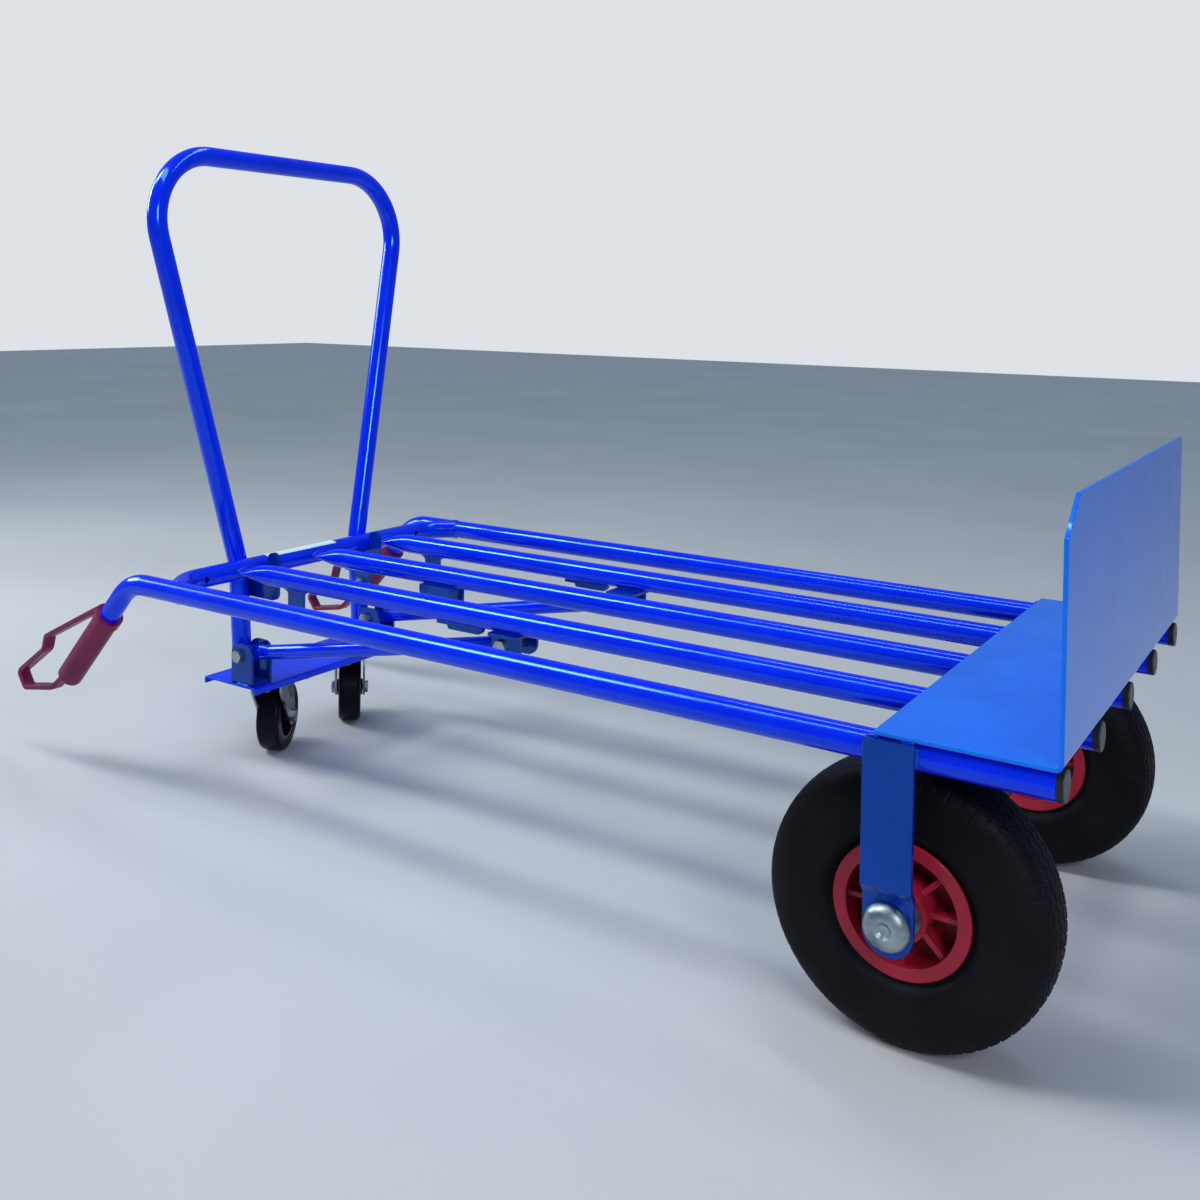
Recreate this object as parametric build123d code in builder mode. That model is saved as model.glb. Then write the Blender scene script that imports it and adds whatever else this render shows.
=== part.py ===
from build123d import *
import os
from math import atan2, cos, degrees, hypot, radians, sin, tan

# Convertible hand truck, standing on four wheels as a platform trolley.
# +X runs from the handle end to the toe plate, +Y to the left, +Z up.  The floor is
# Z = 0, and X = 0 is halfway between the toe plate and the tips of the knuckle guards.

os.makedirs("parts", exist_ok=True)

SIDES = (("left", 1), ("right", -1))

# ---- driving dimensions, millimetres -------------------------------------------------
LENGTH = 1416.0            # toe plate face to the tips of the knuckle guards
TOE_X = LENGTH / 2
DECK_Z = 282.0             # height of the five deck tubes' axes
TUBE_R = 14.0              # all main tubes are 28 mm outside
TUBE_WALL = 2.0
TUBE_PITCH = 150.0         # spacing of the five deck tubes
RAIL_Y = 2 * TUBE_PITCH
TUBE_FRONT_X = TOE_X - 7   # the tubes end one plug head behind the toe plate's face
CROSSBAR_X = TOE_X - 1122

# side rails: a bend behind the crossbar turns them down into the grips
RAIL_BEND_X = TOE_X - 1174
RAIL_BEND_R = 60.0
GRIP_ANGLE = 49.0          # below horizontal
GRIP_START = 76.0          # along the handle from the bend's corner
GRIP_END = 201.0
GRIP_R = 17.5
GUARD_WIDTH = 18.0

# toe plate
TOE_HALF_WIDTH = 316.0
TOE_THICKNESS = 4.0
TOE_HEIGHT = 236.0         # above the tube axes
TOE_FLANGE = 155.0
TOE_BEND_R = 8.0
TOE_CHAMFER_Y = 42.0
TOE_CHAMFER_Z = 32.0

# main wheels and axle
WHEEL_X = TOE_X - 141
WHEEL_Y = 240.0
WHEEL_R = 130.0
WHEEL_WIDTH = 85.0
RIM_R = 62.5
RIM_HALF_WIDTH = 37.0
BEAD_R = 54.0
HUB_R = 26.0
HUB_HALF_LENGTH = 45.0
BEARING_R = 21.0
BEARING_WIDTH = 12.0
AXLE_R = 10.0
RUNNING_GAP = 0.05         # radial play of each turning fit
AXLE_HALF_LENGTH = 318.0
BRACKET_WIDTH = 45.0
BRACKET_THICKNESS = 6.0
BRACKET_OUT_Y = TOE_HALF_WIDTH - 2  # inner face of the bracket's upper part, on the rail
BRACKET_IN_Y = 306.0       # inner face of its joggled lower part
HUB_CAP_R = 21.0

# folding rear leg frame
STRUT_Y = 135.5
STRUT_R = 10.0
STRUT_EYE_R = 10.0
STRUT_EYE_HALF = 4.0       # half the thickness of the flattened ends
PIVOT_X = TOE_X - 665
PIVOT_Z = DECK_Z - 31
FOOT_X = TOE_X - 1118
FOOT_Z = DECK_Z - 121
BOLT_R = 5.0
U_INNER_HALF = 16.0        # half the gap between a pivot bracket's cheeks
U_PLATE = 4.0
HOOP_LEAN = 4.45           # degrees, top away from the deck
HOOP_X = TOE_X - 1152      # hoop axis at deck height
HOOP_LEG_Y = 127.0
HOOP_TOP_Y = 277.5
HOOP_TOP_Z = DECK_Z + 588
HOOP_CORNER_R = 98.0
HOOP_KNEE_R = 110.0
CHANNEL_TOP_Z = 121.0
CHANNEL_X = TOE_X - 1134.5
CHANNEL_WIDTH = 103.0
CHANNEL_HALF_LENGTH = 158.0
CHANNEL_LIP = 10.0
CHANNEL_PLATE = 3.0

# castors
CASTOR_Y = 85.0
CASTOR_X = TOE_X - 1124
CASTOR_R = 50.0
CASTOR_WIDTH = 34.0
CASTOR_TRAIL = 28.0
CASTOR_HUB_R = 36.0
CASTOR_AXLE_R = 5.0
CASTOR_TOP_Z = CHANNEL_TOP_Z - CHANNEL_PLATE
CASTOR_SWIVEL = {"left": 131.0, "right": 116.0}   # trail direction at rest, from +X
KINGPIN_R = 6.0


def save(piece, name):
    """Name a finished piece and write its STEP file."""
    piece.part.label = name
    export_step(piece.part, f"parts/{name}.step")


def across(x, y, z):
    """Plane whose normal points along -Y: local x is +X and local y is +Z."""
    return Plane(origin=(x, y, z), x_dir=(1, 0, 0), z_dir=(0, -1, 0))


def hoop_point(y, z):
    """A point of the hoop's leaning centre plane at a height."""
    return (HOOP_X - (z - DECK_Z) * tan(radians(HOOP_LEAN)), y, z)


# ---- deck: side rails, deck tubes, crossbar -------------------------------------------
def handle_point(distance, y):
    """A point of a rail's handle axis, measured from the bend's corner."""
    dip = radians(GRIP_ANGLE)
    return (RAIL_BEND_X - distance * cos(dip), y, DECK_Z - distance * sin(dip))


for side, sign in SIDES:
    with BuildPart() as rail:
        with BuildLine() as rail_path:
            FilletPolyline(
                (TUBE_FRONT_X, sign * RAIL_Y, DECK_Z),
                (RAIL_BEND_X, sign * RAIL_Y, DECK_Z),
                handle_point(GRIP_END - 6, sign * RAIL_Y),
                radius=RAIL_BEND_R,
            )
        with BuildSketch(Plane(origin=(TUBE_FRONT_X, sign * RAIL_Y, DECK_Z), z_dir=(-1, 0, 0))):
            Circle(TUBE_R)
            Circle(TUBE_R - TUBE_WALL, mode=Mode.SUBTRACT)
        sweep(path=rail_path.wires()[0])
    save(rail, f"rail_{side}")

NECK_X = CROSSBAR_X + 66      # where a deck tube starts to flatten
FLAT_X = CROSSBAR_X + 25      # where it has become a flat tongue
TONGUE_HALF_WIDTH = 20.0
TONGUE_HALF_HEIGHT = 5.0
# half width and half height of the tube on its way from round to flat
PINCH = ((CROSSBAR_X + 49, 15.8, 12.7), (CROSSBAR_X + 35, 18.2, 9.6))

for name, y in (("left", TUBE_PITCH), ("middle", 0.0), ("right", -TUBE_PITCH)):
    with BuildPart() as deck_tube:
        with BuildSketch(Plane(origin=(NECK_X, y, DECK_Z), x_dir=(0, 1, 0), z_dir=(1, 0, 0))):
            Circle(TUBE_R)
            Circle(TUBE_R - TUBE_WALL, mode=Mode.SUBTRACT)
        extrude(amount=TUBE_FRONT_X - NECK_X)
        with BuildSketch(Plane(origin=(NECK_X, y, DECK_Z), x_dir=(0, 1, 0), z_dir=(1, 0, 0))):
            Circle(TUBE_R)
        for pinch_x, half_width, half_height in PINCH:
            with BuildSketch(Plane(origin=(pinch_x, y, DECK_Z), x_dir=(0, 1, 0), z_dir=(1, 0, 0))):
                Ellipse(half_width, half_height)
        with BuildSketch(Plane(origin=(FLAT_X, y, DECK_Z), x_dir=(0, 1, 0), z_dir=(1, 0, 0))):
            Ellipse(TONGUE_HALF_WIDTH, TONGUE_HALF_HEIGHT)
        loft()
        with BuildSketch(Plane(origin=(CROSSBAR_X, y, DECK_Z), x_dir=(0, 1, 0), z_dir=(1, 0, 0))):
            Ellipse(TONGUE_HALF_WIDTH, TONGUE_HALF_HEIGHT)
        extrude(amount=FLAT_X - CROSSBAR_X)
        with BuildSketch(across(CROSSBAR_X, y, DECK_Z)):
            Circle(TUBE_R)
        extrude(amount=TONGUE_HALF_WIDTH + 5, both=True, mode=Mode.SUBTRACT)
    save(deck_tube, f"deck_tube_{name}")

CROSSBAR_BEND_Y = 253.0
CROSSBAR_BEND_R = 60.0
CROSSBAR_TURN = 42.0          # degrees towards the toe plate at each end
CROSSBAR_HOLE_Y = 225.0
CROSSBAR_HOLE_R = 4.0

with BuildPart() as crossbar:
    end_run = (RAIL_Y - CROSSBAR_BEND_Y) / cos(radians(CROSSBAR_TURN))
    end_x = CROSSBAR_X + end_run * sin(radians(CROSSBAR_TURN))
    with BuildLine() as crossbar_path:
        FilletPolyline(
            (end_x, -RAIL_Y, DECK_Z),
            (CROSSBAR_X, -CROSSBAR_BEND_Y, DECK_Z),
            (CROSSBAR_X, CROSSBAR_BEND_Y, DECK_Z),
            (end_x, RAIL_Y, DECK_Z),
            radius=CROSSBAR_BEND_R,
        )
    crossbar_wire = crossbar_path.wires()[0]
    with BuildSketch(Plane(origin=crossbar_wire @ 0, z_dir=crossbar_wire % 0)):
        Circle(TUBE_R)
        Circle(TUBE_R - TUBE_WALL, mode=Mode.SUBTRACT)
    sweep(path=crossbar_wire)
    with BuildSketch(Plane(origin=(end_x - 100, 0, DECK_Z), x_dir=(0, 1, 0), z_dir=(1, 0, 0))):
        with GridLocations(2 * RAIL_Y, 0, 2, 1):
            Circle(TUBE_R)
    extrude(amount=200, mode=Mode.SUBTRACT)
    with BuildSketch(Plane(origin=(CROSSBAR_X, 0, DECK_Z), x_dir=(0, 1, 0), z_dir=(1, 0, 0))):
        with GridLocations(2 * CROSSBAR_HOLE_Y, 0, 2, 1):
            Circle(CROSSBAR_HOLE_R)
    extrude(amount=TUBE_R + 5, mode=Mode.SUBTRACT)
save(crossbar, "crossbar")

# blank rating label, wrapped over the crossbar's top
LABEL_NEAR_Y = -105.0
LABEL_FAR_Y = 38.0
LABEL_THICKNESS = 0.3
LABEL_WRAP = 70.0             # degrees of the tube that the label covers

with BuildPart() as label_strip:
    with BuildSketch(across(CROSSBAR_X, LABEL_NEAR_Y, DECK_Z)):
        with BuildLine():
            half = LABEL_WRAP / 2
            CenterArc((0, 0), TUBE_R, 90 - half, LABEL_WRAP)
            CenterArc((0, 0), TUBE_R + LABEL_THICKNESS, 90 - half, LABEL_WRAP)
            for edge_angle in (90 - half, 90 + half):
                Line(
                    PolarLine((0, 0), TUBE_R, edge_angle, mode=Mode.PRIVATE) @ 1,
                    PolarLine((0, 0), TUBE_R + LABEL_THICKNESS, edge_angle, mode=Mode.PRIVATE) @ 1,
                )
        make_face()
    extrude(amount=LABEL_NEAR_Y - LABEL_FAR_Y)
save(label_strip, "label_strip")

# plugs that close the five tubes at the toe plate
PLUG_STEM = 14.0
with BuildPart() as end_plugs:
    with BuildSketch(Plane(origin=(TUBE_FRONT_X, 0, DECK_Z), x_dir=(0, 1, 0), z_dir=(1, 0, 0))):
        with GridLocations(TUBE_PITCH, 0, 5, 1):
            Circle(TUBE_R)
    extrude(amount=TOE_X - TUBE_FRONT_X)
    fillet(end_plugs.faces().sort_by(Axis.X)[-5:].edges(), radius=1.6)
    with BuildSketch(Plane(origin=(TUBE_FRONT_X, 0, DECK_Z), x_dir=(0, 1, 0), z_dir=(1, 0, 0))):
        with GridLocations(TUBE_PITCH, 0, 5, 1):
            Circle(TUBE_R - TUBE_WALL)
    extrude(amount=-PLUG_STEM)
save(end_plugs, "end_plugs")

# ---- toe plate: one bent sheet, its right top corner cut off ---------------------------
with BuildPart() as toe_plate:
    with BuildSketch(across(TOE_X, 0, DECK_Z + TUBE_R)):
        with BuildLine():
            Polyline((-TOE_FLANGE, 0), (0, 0), (0, TOE_HEIGHT - TUBE_R))
            offset(amount=TOE_THICKNESS, side=Side.LEFT)
        make_face()
    extrude(amount=TOE_HALF_WIDTH, both=True)
    bend_edges = toe_plate.edges().filter_by(Axis.Y)
    outer_bend = bend_edges.sort_by(lambda e: e.center().X - e.center().Z)[-1]
    fillet(outer_bend, radius=TOE_BEND_R)
    bend_edges = toe_plate.edges().filter_by(Axis.Y)
    inner_bend = bend_edges.sort_by_distance((TOE_X - TOE_THICKNESS, 0, DECK_Z + TUBE_R + TOE_THICKNESS))[0]
    fillet(inner_bend, radius=TOE_BEND_R - TOE_THICKNESS)
    with BuildSketch(Plane(origin=(TOE_X, 0, DECK_Z), x_dir=(0, 1, 0), z_dir=(1, 0, 0))):
        with BuildLine():
            Polyline(
                (-TOE_HALF_WIDTH, TOE_HEIGHT),
                (-TOE_HALF_WIDTH + TOE_CHAMFER_Y, TOE_HEIGHT),
                (-TOE_HALF_WIDTH, TOE_HEIGHT - TOE_CHAMFER_Z),
                close=True,
            )
        make_face()
    extrude(amount=TOE_THICKNESS, both=True, mode=Mode.SUBTRACT)
save(toe_plate, "toe_plate")

# ---- grips: a closed sleeve on each handle with a knuckle guard looping behind it ------
GRIP_COLLAR_R = 19.5
GRIP_COLLAR_START = 67.0
GUARD_BAND = 7.0
GUARD_OUTLINE = (
    (TOE_X - 1229, DECK_Z - 36),
    (TOE_X - 1354, DECK_Z - 98),
    (TOE_X - 1359, DECK_Z - 118),
    (TOE_X - 1419, DECK_Z - 161),
    (TOE_X - 1400, DECK_Z - 186),
    (TOE_X - 1334, DECK_Z - 174),
    (TOE_X - 1302, DECK_Z - 147),
)
GUARD_RADII = [9.0, 9.0, 10.0, 10.0, 16.0]

for side, sign in SIDES:
    handle = Plane(
        origin=(RAIL_BEND_X, sign * RAIL_Y, DECK_Z),
        x_dir=(0, 1, 0),
        z_dir=(-cos(radians(GRIP_ANGLE)), 0, -sin(radians(GRIP_ANGLE))),
    )
    with BuildPart() as grip:
        with BuildSketch(across(0, sign * RAIL_Y, 0)):
            with BuildLine():
                FilletPolyline(*GUARD_OUTLINE, radius=GUARD_RADII)
                offset(amount=GUARD_BAND, side=Side.LEFT)
            make_face()
        extrude(amount=GUARD_WIDTH / 2, both=True)
        fillet(grip.faces().filter_by(Axis.Y).edges(), radius=2.0)
        with BuildSketch(handle.offset(GRIP_START)):
            Circle(GRIP_R)
        extrude(amount=GRIP_END - GRIP_START)
        end_rim = grip.edges().filter_by(lambda e: e.geom_type == GeomType.CIRCLE and e.radius > GRIP_R - 1)
        fillet(end_rim.sort_by_distance(handle_point(GRIP_END, sign * RAIL_Y))[0], radius=5.0)
        with BuildSketch(handle.offset(GRIP_COLLAR_START)):
            Circle(GRIP_COLLAR_R)
        extrude(amount=12)
        with BuildSketch(handle):
            Circle(TUBE_R)
        extrude(amount=GRIP_END - 6, mode=Mode.SUBTRACT)
    save(grip, f"grip_{side}")

# ---- main wheels ----------------------------------------------------------------------
AXLE_Z = WHEEL_R
TYRE_CROWN_HALF = 12.0
TYRE_WALL = 7.0
SHOULDER_R = 27.0
BEAD_TOE_Y = 26.0
RIM_LIP = 4.0
RIM_WALL = 4.0
RIB_COUNT = 8

for side, sign in SIDES:
    centre = (WHEEL_X, sign * WHEEL_Y, AXLE_Z)
    radial = Plane(origin=centre, x_dir=(1, 0, 0), z_dir=(0, 0, 1))   # local x radius, y along axle
    spin = Axis(centre, (0, 1, 0))
    bead_y = RIM_HALF_WIDTH - RIM_LIP - 0.1

    with BuildPart() as tyre:
        with BuildSketch(radial):
            with BuildLine():
                tread = ThreePointArc(
                    (WHEEL_R - 1, TYRE_CROWN_HALF), (WHEEL_R, 0), (WHEEL_R - 1, -TYRE_CROWN_HALF)
                )
                for half in (1, -1):
                    FilletPolyline(
                        (WHEEL_R - 1, half * TYRE_CROWN_HALF),
                        (WHEEL_R - 3, half * WHEEL_WIDTH / 2),
                        (70, half * WHEEL_WIDTH / 2),
                        (RIM_R + 1.5, half * bead_y),
                        (BEAD_R, half * bead_y),
                        (BEAD_R, half * BEAD_TOE_Y),
                        (62, half * BEAD_TOE_Y),
                        (72, half * (WHEEL_WIDTH / 2 - TYRE_WALL)),
                        (WHEEL_R - TYRE_WALL - 2, half * (WHEEL_WIDTH / 2 - TYRE_WALL)),
                        (WHEEL_R - TYRE_WALL, 0),
                        radius=[SHOULDER_R, 8, 2, 1, 1, 4, 6, SHOULDER_R - TYRE_WALL],
                    )
            make_face()
        revolve(axis=spin)
    save(tyre, f"tyre_{side}")

    with BuildPart() as inner_tube:
        with BuildSketch(radial):
            with BuildLine():
                Line((BEAD_R + 2, BEAD_TOE_Y - 1), (BEAD_R + 2, 1 - BEAD_TOE_Y))
                for half in (1, -1):
                    FilletPolyline(
                        (BEAD_R + 2, half * (BEAD_TOE_Y - 1)),
                        (62, half * (BEAD_TOE_Y - 1)),
                        (72, half * (WHEEL_WIDTH / 2 - TYRE_WALL - 1)),
                        (WHEEL_R - TYRE_WALL - 3, half * (WHEEL_WIDTH / 2 - TYRE_WALL - 1)),
                        (WHEEL_R - TYRE_WALL, 0),
                        radius=[4, 6, SHOULDER_R - TYRE_WALL],
                    )
            make_face()
            offset(amount=-2.5, mode=Mode.SUBTRACT)
        revolve(axis=spin)
    save(inner_tube, f"inner_tube_{side}")

    with BuildPart() as rim:
        with BuildSketch(radial):
            with Locations((BEAD_R - RIM_WALL / 2, 0)):
                Rectangle(RIM_WALL, 2 * RIM_HALF_WIDTH)
            for half in (1, -1):
                with Locations((RIM_R / 2 + BEAD_R / 2 - 1, half * (RIM_HALF_WIDTH - RIM_LIP / 2))):
                    Rectangle(RIM_R - BEAD_R + 2, RIM_LIP)
            with Locations((HUB_R / 2 + BEARING_R / 2, 0)):
                Rectangle(HUB_R - BEARING_R, 2 * HUB_HALF_LENGTH)
            with Locations((HUB_R / 2 + AXLE_R / 2 + 2, 0)):
                Rectangle(HUB_R - AXLE_R - 4, 2 * (HUB_HALF_LENGTH - BEARING_WIDTH))
            with Locations(((BEAD_R + HUB_R) / 2 - RIM_WALL / 2, 0)):
                Rectangle(BEAD_R - RIM_WALL - HUB_R + 2, 8)
        revolve(axis=spin)
        with BuildSketch(across(*centre)):
            with PolarLocations((BEAD_R - RIM_WALL + HUB_R) / 2, RIB_COUNT):
                Rectangle(BEAD_R - RIM_WALL - HUB_R + 2, 5)
        extrude(amount=29, both=True)
        lips = rim.edges().filter_by(lambda e: e.geom_type == GeomType.CIRCLE and e.radius > RIM_R - 0.1)
        fillet(lips, radius=1.8)
    save(rim, f"rim_{side}")

    with BuildPart() as wheel_bearings:
        with BuildSketch(radial):
            for half in (1, -1):
                with Locations((
                    (BEARING_R + AXLE_R + RUNNING_GAP) / 2,
                    half * (HUB_HALF_LENGTH - BEARING_WIDTH / 2),
                )):
                    Rectangle(BEARING_R - AXLE_R - RUNNING_GAP, BEARING_WIDTH)
        revolve(axis=spin)
    save(wheel_bearings, f"wheel_bearings_{side}")

with BuildPart() as axle:
    with BuildSketch(across(WHEEL_X, 0, AXLE_Z)):
        Circle(AXLE_R)
    extrude(amount=AXLE_HALF_LENGTH, both=True)
save(axle, "axle")

# distance sleeves between hub and bracket, and the stop collars inboard of the hubs
SLEEVE_R = 14.0
with BuildPart() as axle_spacers:
    for sign in (1, -1):
        hub_out = WHEEL_Y + HUB_HALF_LENGTH + 0.5
        hub_in = WHEEL_Y - HUB_HALF_LENGTH - 0.5
        for start, stop in ((hub_out, BRACKET_IN_Y), (hub_in - 14, hub_in)):
            with BuildSketch(across(WHEEL_X, sign * start, AXLE_Z)):
                Circle(SLEEVE_R)
                Circle(AXLE_R, mode=Mode.SUBTRACT)
            extrude(amount=-sign * (stop - start))
save(axle_spacers, "axle_spacers")

BRACKET_TOP_Z = DECK_Z + 12
BRACKET_BEND_TOP_Z = DECK_Z - 115
BRACKET_BEND_BOTTOM_Z = DECK_Z - 125
BRACKET_FOOT_Z = AXLE_Z - 28
BRACKET_END_Z = BRACKET_FOOT_Z + BRACKET_WIDTH / 2   # centre of its rounded end

for side, sign in SIDES:
    with BuildPart() as wheel_bracket:
        with BuildSketch(Plane.YZ.offset(WHEEL_X)):
            with BuildLine():
                Polyline(
                    (BRACKET_OUT_Y, BRACKET_TOP_Z),
                    (BRACKET_OUT_Y, BRACKET_BEND_TOP_Z),
                    (BRACKET_IN_Y, BRACKET_BEND_BOTTOM_Z),
                    (BRACKET_IN_Y, BRACKET_FOOT_Z),
                )
                offset(amount=BRACKET_THICKNESS, side=Side.LEFT)
            make_face()
        extrude(amount=BRACKET_WIDTH / 2, both=True)
        with BuildSketch(across(WHEEL_X, BRACKET_IN_Y - 5, AXLE_Z)):
            with Locations((0, BRACKET_TOP_Z - AXLE_Z)):
                Rectangle(
                    BRACKET_WIDTH, BRACKET_TOP_Z - BRACKET_END_Z, align=(Align.CENTER, Align.MAX)
                )
            with Locations((0, BRACKET_END_Z - AXLE_Z)):
                Circle(BRACKET_WIDTH / 2)
            Circle(AXLE_R, mode=Mode.SUBTRACT)
        extrude(amount=-25, mode=Mode.INTERSECT)
        if sign < 0:
            mirror(about=Plane.XZ, mode=Mode.REPLACE)
    save(wheel_bracket, f"wheel_bracket_{side}")

    with BuildPart() as hub_cap:
        face_y = BRACKET_IN_Y + BRACKET_THICKNESS
        with BuildSketch(Plane(origin=(WHEEL_X, 0, AXLE_Z), x_dir=(1, 0, 0), z_dir=(0, 0, 1))):
            with BuildLine():
                Polyline(
                    (8, face_y + 12),
                    (4.5, face_y + 9.5),
                    (0, face_y + 9),
                    (0, AXLE_HALF_LENGTH),
                    (AXLE_R, AXLE_HALF_LENGTH),
                    (AXLE_R, face_y),
                    (HUB_CAP_R, face_y),
                    (HUB_CAP_R, face_y + 4),
                )
                ThreePointArc((HUB_CAP_R, face_y + 4), (16.5, face_y + 9.8), (8, face_y + 12))
            make_face()
        revolve(axis=Axis((WHEEL_X, 0, AXLE_Z), (0, 1, 0)))
        if sign < 0:
            mirror(about=Plane.XZ, mode=Mode.REPLACE)
    save(hub_cap, f"hub_cap_{side}")

# ---- fixed brackets under the deck ----------------------------------------------------
def bore_for_tube(x_from, x_to, y):
    """Cut the current part to sit against a deck tube."""
    with BuildSketch(Plane(origin=(x_from, y, DECK_Z), x_dir=(0, 1, 0), z_dir=(1, 0, 0))) as bore:
        Circle(TUBE_R)
    extrude(bore.sketch, amount=x_to - x_from, mode=Mode.SUBTRACT)


CHEEK_IN_Y = STRUT_Y - U_INNER_HALF     # inner faces of a U bracket's two cheeks
CHEEK_OUT_Y = STRUT_Y + U_INNER_HALF
PIVOT_BRACKET_BACK = TOE_X - 680
PIVOT_BRACKET_FRONT = TOE_X - 638
PIVOT_WEB_Z = DECK_Z - TUBE_R
PIVOT_LOW_Z = DECK_Z - 45

STOP_BACK = TOE_X - 767
STOP_FRONT = TOE_X - 696
STOP_STEP = TOE_X - 750
TAB_BACK = TOE_X - 1026
TAB_FRONT = TOE_X - 999
LUG_PLATE = 6.0

for side, sign in SIDES:
    with BuildPart() as pivot_bracket:
        with BuildSketch(Plane.YZ.offset(PIVOT_BRACKET_BACK)):
            with BuildLine():
                Polyline(
                    (CHEEK_IN_Y - U_PLATE, PIVOT_LOW_Z),
                    (CHEEK_IN_Y - U_PLATE, PIVOT_WEB_Z),
                    (STRUT_Y + 28.5, PIVOT_WEB_Z),
                    (STRUT_Y + 28.5, PIVOT_WEB_Z - U_PLATE),
                    (CHEEK_OUT_Y + U_PLATE, PIVOT_WEB_Z - U_PLATE),
                    (CHEEK_OUT_Y + U_PLATE, PIVOT_LOW_Z),
                    (CHEEK_OUT_Y, PIVOT_LOW_Z),
                    (CHEEK_OUT_Y, PIVOT_WEB_Z - U_PLATE),
                    (CHEEK_IN_Y, PIVOT_WEB_Z - U_PLATE),
                    (CHEEK_IN_Y, PIVOT_LOW_Z),
                    close=True,
                )
            make_face()
        extrude(amount=PIVOT_BRACKET_FRONT - PIVOT_BRACKET_BACK)
        cheek_ends = pivot_bracket.edges().filter_by(Axis.Y).group_by(Axis.Z)[0]
        fillet(cheek_ends.group_by(Axis.X)[-1], radius=14)
        fillet(cheek_ends.group_by(Axis.X)[0], radius=5)
        with BuildSketch(across(PIVOT_X, STRUT_Y, PIVOT_Z)):
            Circle(BOLT_R)
        extrude(amount=U_INNER_HALF + U_PLATE, both=True, mode=Mode.SUBTRACT)
        if sign < 0:
            mirror(about=Plane.XZ, mode=Mode.REPLACE)
    save(pivot_bracket, f"pivot_bracket_{side}")

    with BuildPart() as stop_plate:
        with BuildSketch(across(0, TUBE_PITCH, 0)):
            with BuildLine():
                Polyline(
                    (STOP_BACK, DECK_Z - 12),
                    (STOP_BACK, DECK_Z - 18),
                    (STOP_STEP, DECK_Z - 18),
                    (STOP_STEP, DECK_Z - 23),
                    (STOP_FRONT, DECK_Z - 23),
                    (STOP_FRONT, DECK_Z - 12),
                    close=True,
                )
            make_face()
        extrude(amount=LUG_PLATE / 2, both=True)
        low_corners = stop_plate.edges().filter_by(Axis.Y).group_by(Axis.Z)[0]
        fillet(low_corners.group_by(Axis.X)[-1], radius=8)
        fillet(low_corners.group_by(Axis.X)[0], radius=4)
        bore_for_tube(STOP_BACK - 5, STOP_FRONT + 5, TUBE_PITCH)
        if sign < 0:
            mirror(about=Plane.XZ, mode=Mode.REPLACE)
    save(stop_plate, f"stop_plate_{side}")

    with BuildPart() as support_tab:
        with BuildSketch(across(0, TUBE_PITCH, 0)):
            with BuildLine():
                Polyline(
                    (TAB_BACK - 7, DECK_Z - 12),
                    (TAB_BACK - 7, DECK_Z - 15),
                    (TAB_BACK, DECK_Z - 15),
                    (TAB_BACK, DECK_Z - 60),
                    (TAB_FRONT, DECK_Z - 60),
                    (TAB_FRONT, DECK_Z - 15),
                    (TAB_FRONT + 7, DECK_Z - 15),
                    (TAB_FRONT + 7, DECK_Z - 12),
                    close=True,
                )
            make_face()
        extrude(amount=LUG_PLATE / 2, both=True)
        fillet(support_tab.edges().filter_by(Axis.Y).group_by(Axis.Z)[0], radius=6)
        roots = support_tab.edges().filter_by(Axis.Y).group_by(Axis.Z)[-2].sort_by(Axis.X)
        fillet(roots[1:3], radius=6)
        bore_for_tube(TAB_BACK - 15, TAB_FRONT + 15, TUBE_PITCH)
        if sign < 0:
            mirror(about=Plane.XZ, mode=Mode.REPLACE)
    save(support_tab, f"support_tab_{side}")

# catch under the middle tube: an inverted U, deeper at its front
CATCH_BACK = TOE_X - 904
CATCH_STEP = TOE_X - 881
CATCH_FRONT = TOE_X - 852
CATCH_HALF = 18.0
CATCH_PLATE = 4.0
with BuildPart() as catch_bracket:
    with BuildSketch(across(0, CATCH_HALF, 0)):
        with BuildLine():
            Polyline(
                (CATCH_BACK, DECK_Z - 12),
                (CATCH_BACK, DECK_Z - 27),
                (CATCH_STEP, DECK_Z - 27),
                (CATCH_STEP, DECK_Z - 45),
                (CATCH_FRONT, DECK_Z - 45),
                (CATCH_FRONT, DECK_Z - 12),
                close=True,
            )
        make_face()
    extrude(amount=2 * CATCH_HALF)
    catch_corners = catch_bracket.edges().filter_by(Axis.Y).group_by(Axis.Z)
    fillet(catch_corners[0], radius=8)
    fillet(catch_bracket.edges().filter_by(Axis.Y).group_by(Axis.X)[0].sort_by(Axis.Z)[0], radius=6)
    with BuildSketch(Plane.XY.offset(DECK_Z - 12 - CATCH_PLATE - 2)):
        with Locations(((CATCH_BACK + CATCH_FRONT) / 2, 0)):
            Rectangle(CATCH_FRONT - CATCH_BACK + 10, 2 * (CATCH_HALF - CATCH_PLATE))
    extrude(amount=-40, mode=Mode.SUBTRACT)
    bore_for_tube(CATCH_BACK - 5, CATCH_FRONT + 5, 0)
save(catch_bracket, "catch_bracket")

# ---- folding struts -------------------------------------------------------------------
strut_run = hypot(PIVOT_X - FOOT_X, PIVOT_Z - FOOT_Z)
strut_tilt = atan2(PIVOT_Z - FOOT_Z, PIVOT_X - FOOT_X)
STRUT_NECK = 48.0            # from the pin to the full round tube
STRUT_FLAT = 22.0            # from the pin to the end of the flat

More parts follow.
